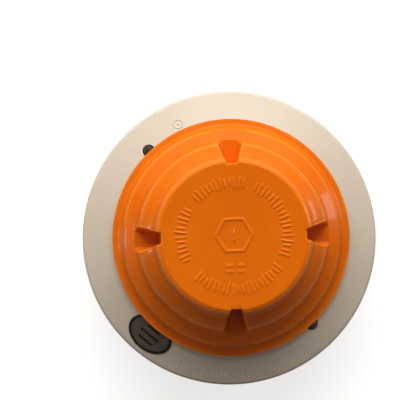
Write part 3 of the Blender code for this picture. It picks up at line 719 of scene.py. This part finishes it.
def make_label():
    """Dark oval label with a border and three plain bars."""
    face_height = 0.26
    face = oval_on_flange("label_face", 0.02, 0.90, 0.05, face_height, LABEL_FACE)
    oval_on_flange("label_border", 0.88, 1.0, 0.05, 0.32, LABEL_INK)
    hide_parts("label")
    bars = bmesh.new()
    for radius, half in ((41.9, 2.6), (44.3, 3.9), (46.7, 3.0)):
        place = on_flange(radius, LABEL_ANGLE, face_height)
        add_block(bars, (-0.42, -half, -0.1), (0.42, half, 0.05), place, 0.06)
    link("label_bars", mesh_of("label_bars", bars), LABEL_INK, "head")


# ---------------------------------------------------------------- mounting base
LUG_ANGLES = (0.0, 120.0, 240.0)
TERMINAL_ANGLES = (30.0, 120.0, 210.0, 300.0)
TERMINAL_RADIUS = 38.0
SLOT_ANGLES = (0.0, 90.0, 180.0, 270.0)
SLOT_RADIUS, SLOT_HALF_LENGTH, SLOT_END_RADIUS = 30.0, 3.05, 1.95
LEDGE_RADII = (46.7, 50.3)
RIB_ANGLES = (15.0, 45.0, 75.0, 135.0, 165.0, 195.0, 225.0, 255.0, 285.0, 345.0)
LOCK_MARK_ANGLE = -20.0

# The base's closed section of (radius, height): wall with a seam groove, flat back, wire hole, and inside.
BASE_SECTION = [
    (51.6, 16.5),
    (51.6, 15.2),
    (51.35, 15.0),
    (51.35, 14.7),
    (51.6, 14.5),
    (51.6, 1.0),
    (50.9, 0.0),
    (14.3, 0.0),
    (14.0, 0.3),
    (14.0, 4.4),
    (15.6, 4.4),
    (15.6, 2.2),
    (49.4, 2.2),
    (49.4, 16.4),
    (49.6, 16.5),
]


def add_sector(bm, radii, heights, middle, span, steps=8):
    """Adds a block of a ring, span degrees wide about the angle middle, in millimetres."""
    (inner, outer), (low, high) = radii, heights
    start = TO_METRES @ Matrix.Rotation(math.radians(middle - span / 2), 4, "Z")
    corners = [(inner, 0, low), (outer, 0, low), (outer, 0, high), (inner, 0, high)]
    face = bm.faces.new([bm.verts.new(start @ Vector(corner)) for corner in corners])
    geom = [face] + list(face.edges) + list(face.verts)
    bmesh.ops.spin(bm, geom=geom, cent=(0, 0, 0), axis=(0, 0, 1), angle=math.radians(span), steps=steps)


def make_mounting_base():
    """Base with bayonet ledges and stops, terminal pads, ribs, screw slots and the mould's marks on its back."""
    body = bmesh.new()
    lathe(body, rounded_section(BASE_SECTION, 0.25, 3), closed=True)
    obj = link("mounting_base_body", mesh_of("mounting_base_body", body), IVORY_BACK, "base")

    added = bmesh.new()
    for angle in LUG_ANGLES:
        add_sector(added, LEDGE_RADII, (12.1, 14.1), angle, 20.0)
    for angle in TERMINAL_ANGLES:
        add_block(added, (-4.4, -13.4, 1.6), (4.4, -4.6, 3.7), polar(TERMINAL_RADIUS, angle))
    for angle in RIB_ANGLES:
        add_block(added, (16.5, -0.5, 1.6), (26.0, 0.5, 3.2), polar(0.0, angle))
    cut(obj, added, "UNION")
    stops = bmesh.new()
    for angle in LUG_ANGLES:
        add_sector(stops, LEDGE_RADII, (9.9, 13.9), angle - 10.95, 2.7, 1)
    cut(obj, stops, "UNION")

    holes = bmesh.new()
    for angle in TERMINAL_ANGLES:
        add_post(holes, 1.8, 0.6, 6.0, polar(TERMINAL_RADIUS, angle) @ Matrix.Translation((0.0, -9.0, 0.0)))
    cut(obj, holes)
    for shift in (-SLOT_HALF_LENGTH, 0.0, SLOT_HALF_LENGTH):
        holes = bmesh.new()
        for angle in SLOT_ANGLES:
            place = polar(SLOT_RADIUS, angle)
            if shift:
                add_post(holes, SLOT_END_RADIUS, -1.0, 3.2, place @ Matrix.Translation((shift, 0.0, 0.0)))
            else:
                corner = (SLOT_HALF_LENGTH, SLOT_END_RADIUS)
                add_block(holes, (-corner[0], -corner[1], -1.0), (*corner, 3.2), place)
        cut(obj, holes)

    relief = bmesh.new()
    for inner, outer in ((19.5, 20.1), (44.0, 44.6)):
        lathe(relief, [(inner, -1.0), (outer, -1.0), (outer, 0.25), (inner, 0.25)], closed=True)
    for i in range(8):
        add_post(relief, 1.6, -1.0, 0.18, polar(41.0, 22.5 + 45.0 * i))
        add_post(relief, 1.2, -1.0, 0.18, polar(23.5, 22.5 + 45.0 * i))
    cut(obj, relief)
    smooth(obj.data)
    soften(obj, 0.18, flat=True)
    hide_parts("mounting_base")

    mark = bmesh.new()
    add_block(mark, (51.2, -0.6, 9.0), (51.85, 0.6, 14.0), polar(0.0, LOCK_MARK_ANGLE), 0.15)
    link("lock_mark_base", mesh_of("lock_mark_base", mark), IVORY_BACK, "base")
    mark = bmesh.new()
    add_block(mark, (51.7, -0.6, 18.0), (52.0, 0.6, 23.0), polar(0.0, LOCK_MARK_ANGLE), 0.1)
    link("lock_mark_head", mesh_of("lock_mark_head", mark), IVORY, "head")


# ---------------------------------------------------------------- address switches
SWITCH_OFFSET = 8.5
DIGIT_SIZE, DIGIT_RING, DIGIT_HEIGHT = 1.35, 4.15, 9.98


def make_switch_numbers():
    """The digits 0 to 9 round each dial, on the switch's face towards the ceiling."""
    for word, x in (("tens", -SWITCH_OFFSET), ("ones", SWITCH_OFFSET)):
        made = []
        for digit in range(10):
            curve = bpy.data.curves.new("digit", "FONT")
            curve.body = str(digit)
            curve.size = DIGIT_SIZE * MM
            curve.extrude = 0.03 * MM
            curve.align_x = "CENTER"
            curve.align_y = "CENTER"
            obj = bpy.data.objects.new("digit", curve)
            bpy.context.scene.collection.objects.link(obj)
            turn = math.radians(-36.0 * digit)
            place = Matrix.Rotation(math.pi, 4, "Y") @ Matrix.Rotation(turn, 4, "Z")
            place = place @ Matrix.Translation((0.0, DIGIT_RING * MM, 0.0))
            obj.matrix_world = Matrix.Translation((x * MM, 0.0, DIGIT_HEIGHT * MM)) @ place
            made.append(obj)
        bpy.context.view_layer.update()
        graph = bpy.context.evaluated_depsgraph_get()
        joined = bmesh.new()
        for obj in made:
            mesh = bpy.data.meshes.new_from_object(obj.evaluated_get(graph))
            mesh.transform(obj.matrix_world)
            joined.from_mesh(mesh)
            bpy.data.objects.remove(obj)
        bmesh.ops.remove_doubles(joined, verts=joined.verts, dist=1e-7)
        link(f"{word}_numbers", mesh_of(f"{word}_numbers", joined), DIAL_WHITE, "head")


# ---------------------------------------------------------------- nodes that keep their own shape
def paint_nodes():
    """Gives every node its material, by the start of its name, and rounds its edges."""
    paint = {
        "rear_housing": IVORY_BACK, "circuit_board": BOARD,
        "tens_switch": SWITCH_BLUE, "ones_switch": SWITCH_BLUE, "tens_dial": DIAL_WHITE, "ones_dial": DIAL_WHITE,
        "ir_emitter": CLEAR, "status_lamp": CLEAR, "reed_switch": CLEAR,
        "base_contact": BRASS, "contact_blade": BRASS, "contact_post": BRASS,
        "clamp_plate": STEEL, "terminal_screw": STEEL, "board_screw": STEEL, "post_screw": STEEL,
        "shield_can": STEEL, "insect_screen": STEEL, "capacitor": STEEL,
        "chamber_base": BLACK, "chamber_cap": BLACK, "microcontroller": BLACK, "photodiode": SMOKED,
    }
    for name, node in NODES.items():
        for key, material in paint.items():
            if name.startswith(key):
                node.data.materials.clear()
                node.data.materials.append(material)
        smooth(node.data)
        if not name.startswith(("insect_screen", "label")):
            soften(node, 0.08, flat=True)


# ---------------------------------------------------------------- floor, lights and camera
FLOOR_LEVEL = -0.2
FLOOR_RADII = (50.7, 80.0, 200.0, 450.0, 850.0)  # open under the base, so that its back can be lit


def make_floor():
    """White paper that is seen bright but throws little light back, and can't be seen from below."""
    s = Shader("floor_paper", Roughness=0.9)
    s.colour(s.ramp(s.noise(4.0, 2.0), [(0.3, (0.26, 0.255, 0.25)), (0.7, (0.29, 0.285, 0.28))]))
    paper = s.add("ShaderNodeBsdfDiffuse")
    paper.inputs["Color"].default_value = (0.5, 0.5, 0.5, 1.0)
    glow = s.add("ShaderNodeEmission")
    glow.inputs["Strength"].default_value = 0.72
    bright = s.add("ShaderNodeAddShader")
    s.wire(paper.outputs[0], bright.inputs[0])
    s.wire(glow.outputs[0], bright.inputs[1])
    either = s.add("ShaderNodeMixShader")
    s.wire(s.add("ShaderNodeLightPath").outputs["Is Camera Ray"], either.inputs[0])
    s.wire(s.shader.outputs[0], either.inputs[1])
    s.wire(bright.outputs[0], either.inputs[2])
    open_below = s.add("ShaderNodeMixShader")
    s.wire(s.add("ShaderNodeNewGeometry").outputs["Backfacing"], open_below.inputs[0])
    s.wire(either.outputs[0], open_below.inputs[1])
    s.wire(s.add("ShaderNodeBsdfTransparent").outputs[0], open_below.inputs[2])
    s.wire(open_below.outputs[0], s.tree.nodes["Material Output"].inputs["Surface"])
    bm = bmesh.new()
    lathe(bm, [(radius, FLOOR_LEVEL) for radius in FLOOR_RADII], 96)
    for face in bm.faces:
        face.normal_update()
        if face.normal.z < 0:
            face.normal_flip()
    mesh = bpy.data.meshes.new("floor")
    bm.to_mesh(mesh)
    bm.free()
    floor = bpy.data.objects.new("floor", mesh)
    bpy.context.scene.collection.objects.link(floor)
    mesh.materials.append(s.material)


def area_light(name, place, target, size, power, colour=(1.0, 1.0, 1.0)):
    data = bpy.data.lights.new(name, "AREA")
    data.shape = "RECTANGLE"
    data.size, data.size_y = size
    data.energy = power
    data.color = colour
    lamp = bpy.data.objects.new(name, data)
    lamp.location = place
    lamp.rotation_euler = (Vector(target) - Vector(place)).to_track_quat("-Z", "Y").to_euler()
    bpy.context.scene.collection.objects.link(lamp)
    return lamp


KEY_WARMTH = (1.0, 0.97, 0.93)


def make_lights():
    """A large soft light from above, a thin strip, small windows for gloss, and one light for the back."""
    world = bpy.data.worlds.new("studio")
    bpy.context.scene.world = world
    world.use_nodes = True
    tree = world.node_tree
    soft = tree.nodes["Background"]
    soft.inputs["Color"].default_value = (1.0, 0.86, 0.76, 1.0)
    soft.inputs["Strength"].default_value = 0.15
    backdrop = tree.nodes.new("ShaderNodeBackground")
    backdrop.inputs["Color"].default_value = (1.0, 1.0, 1.0, 1.0)
    either = tree.nodes.new("ShaderNodeMixShader")
    tree.links.new(tree.nodes.new("ShaderNodeLightPath").outputs["Is Camera Ray"], either.inputs[0])
    tree.links.new(soft.outputs[0], either.inputs[1])
    tree.links.new(backdrop.outputs[0], either.inputs[2])
    tree.links.new(either.outputs[0], tree.nodes["World Output"].inputs["Surface"])
    middle = (0.0, 0.0, 0.03)
    key = area_light("key", (-0.05, 1.60, 0.95), middle, (2.9, 1.7), 68.0, KEY_WARMTH)
    key.visible_glossy = False
    area_light("strip", (0.10, 1.10, 0.95), middle, (0.9, 0.10), 1.6)
    area_light("under", (0.3, -0.5, -1.2), (0.0, 0.0, 0.0), (1.6, 1.6), 26.0)
    for i, height in enumerate((0.16, 0.27, 0.38)):
        area_light(f"window_right_{i}", (0.75, 0.22, height), middle, (0.20, 0.07), 0.26)
        area_light(f"window_left_{i}", (-0.80, 0.02, height), middle, (0.16, 0.06), 0.22)


def make_camera():
    """Almost straight at the front, a little to the left and below, and slightly rolled."""
    data = bpy.data.cameras.new("camera")
    data.sensor_width = 36.0
    data.lens = 101.8
    data.shift_x = -0.075
    data.shift_y = 0.094
    data.clip_start, data.clip_end = 0.01, 20.0
    camera = bpy.data.objects.new("camera", data)
    bpy.context.scene.collection.objects.link(camera)
    bpy.context.scene.camera = camera
    target = Vector((0.0, 0.0, FLANGE_OUTER[1] * MM))
    distance = 0.400
    sideways, upwards, roll = (math.radians(angle) for angle in (-2.2, -0.9, 1.8))
    back = Vector((math.sin(sideways), math.sin(upwards), 1.0)).normalized()
    up = Vector((math.sin(roll), math.cos(roll), 0.0))
    right = up.cross(back).normalized()
    up = back.cross(right)
    turn = Matrix((right, up, back)).transposed().to_4x4()
    camera.matrix_world = Matrix.Translation(target + back * distance) @ turn
    bpy.context.scene.view_settings.view_transform = "Standard"
    bpy.context.scene.view_settings.look = "None"


paint_nodes()
make_dust_cover()
make_outer_cover()
make_lamps()
make_flange_marks()
make_label()
make_mounting_base()
make_switch_numbers()
make_floor()
make_lights()
make_camera()
